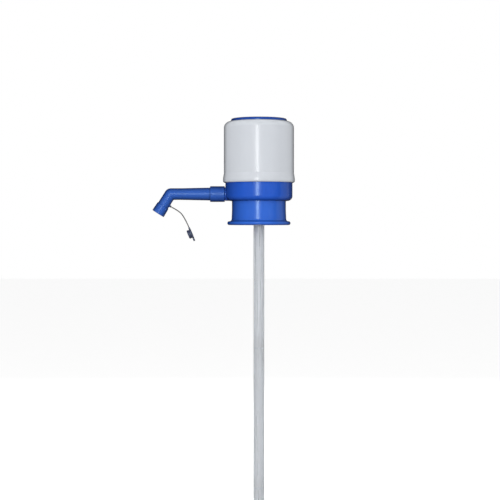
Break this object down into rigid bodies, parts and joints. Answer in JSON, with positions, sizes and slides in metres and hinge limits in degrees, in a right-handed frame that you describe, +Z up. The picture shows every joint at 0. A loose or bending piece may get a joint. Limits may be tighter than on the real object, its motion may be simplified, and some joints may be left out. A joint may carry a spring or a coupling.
{
  "type": "water jug hand pump",
  "caption": "Hand-pressed bellows pump that seats on a water jug's neck, with a round cover, press button, bent swivel spout, tethered cap and dip tube.",
  "frame": {"origin": "on the pump's axis at the mouth of the neck collar, in the plane of its lip", "axes": "+Z up along the pump's axis towards the press button, the spout points along -X"},
  "size_m": [0.1595, 0.0804, 0.5712],
  "materials": {
    "blue_plastic": "glossy moulded polypropylene, deep blue",
    "cap_plastic": "satin moulded soft plastic, slate blue",
    "white_plastic": "satin-gloss moulded plastic, cool pale grey-white",
    "natural_plastic": "natural milky moulded plastic",
    "tube_plastic": "extruded translucent food-grade plastic",
    "silicone": "moulded grey silicone",
    "bellows_rubber": "moulded soft plastic bellows",
    "seal_rubber": "black nitrile",
    "steel": "stainless steel"
  },
  "bodies": {
    "base": {"neck_collar": "blue_plastic", "neck_gasket": "silicone", "neck_grip_ring": "silicone", "collar_seal": "seal_rubber", "pump_base": "blue_plastic", "clamp_nut": "natural_plastic", "nut_washer": "seal_rubber", "pump_deck": "natural_plastic", "deck_screws": "steel", "duct_gasket": "seal_rubber", "outlet_valve": "seal_rubber", "outer_cover": "white_plastic", "lower_clamp_ring": "natural_plastic", "bellows": "bellows_rubber", "return_spring": "steel", "spout_seal": "seal_rubber", "upper_tube": "tube_plastic", "middle_tube": "tube_plastic", "lower_tube": "tube_plastic", "upper_joiner": "tube_plastic", "lower_joiner": "tube_plastic"},
    "button": {"press_button": "blue_plastic", "pressure_plate": "natural_plastic", "plate_screws": "steel", "upper_clamp_ring": "natural_plastic", "intake_valve": "seal_rubber"},
    "spout": {"spout_pipe": "blue_plastic", "nozzle_ring": "blue_plastic", "tether_bead": "silicone"},
    "cap": {"cap_tether": "silicone", "spout_cap": "cap_plastic"}
  },
  "joints": [
    {"name": "button_slide", "type": "slide", "parent": "base", "child": "button", "axis": [0, 0, 1], "range_m": [0, 0.038], "stiffness_N_per_m": 400, "springref_m": 0.045, "deforming": ["bellows", "return_spring"]},
    {"name": "spout_swivel", "type": "hinge", "parent": "base", "child": "spout", "pos_m": [-0.046, 0, 0.0347], "axis": [-1, 0, 0], "continuous": true},
    {"name": "cap_swing", "type": "hinge", "parent": "spout", "child": "cap", "pos_m": [-0.09887, 0, 0.02062], "axis": [0, 1, 0], "range_deg": [-30, 45], "stiffness_Nm_per_rad": 0.005}
  ]
}
